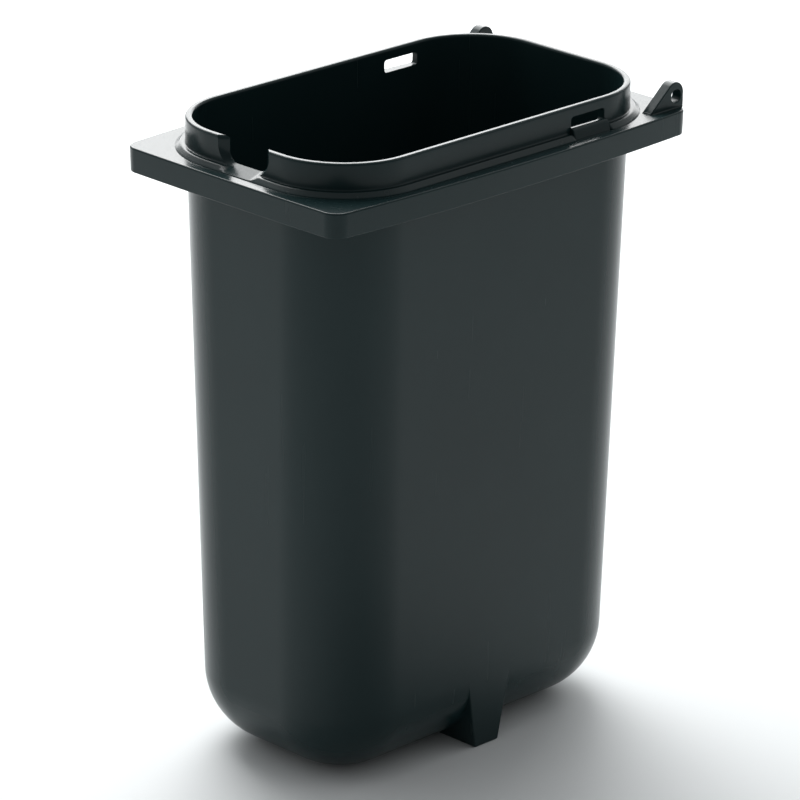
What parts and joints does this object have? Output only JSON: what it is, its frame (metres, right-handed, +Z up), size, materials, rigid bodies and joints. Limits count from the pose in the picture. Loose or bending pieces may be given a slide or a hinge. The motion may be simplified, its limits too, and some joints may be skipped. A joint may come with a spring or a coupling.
{
  "type": "flanged topping jar",
  "caption": "Deep plastic drop-in jar with rounded corners, a rectangular rim flange, a notched collar with side slots, pierced hinge ears and side feet.",
  "frame": {"origin": "centre of the base, on the plane the jar stands on", "axes": "+Z up out of the mouth; X along the jar's long side with +X towards the hinge ears; +Y towards the long side without the latch ramp"},
  "size_m": [0.2112, 0.1344, 0.281],
  "materials": {
    "black_plastic": "satin, green-grey black"
  },
  "bodies": {
    "root": {"jar_shell": "black_plastic", "rim_flange": "black_plastic", "mouth_collar": "black_plastic", "latch_ramp": "black_plastic", "hinge_ear_near": "black_plastic", "hinge_ear_far": "black_plastic"}
  },
  "joints": []
}
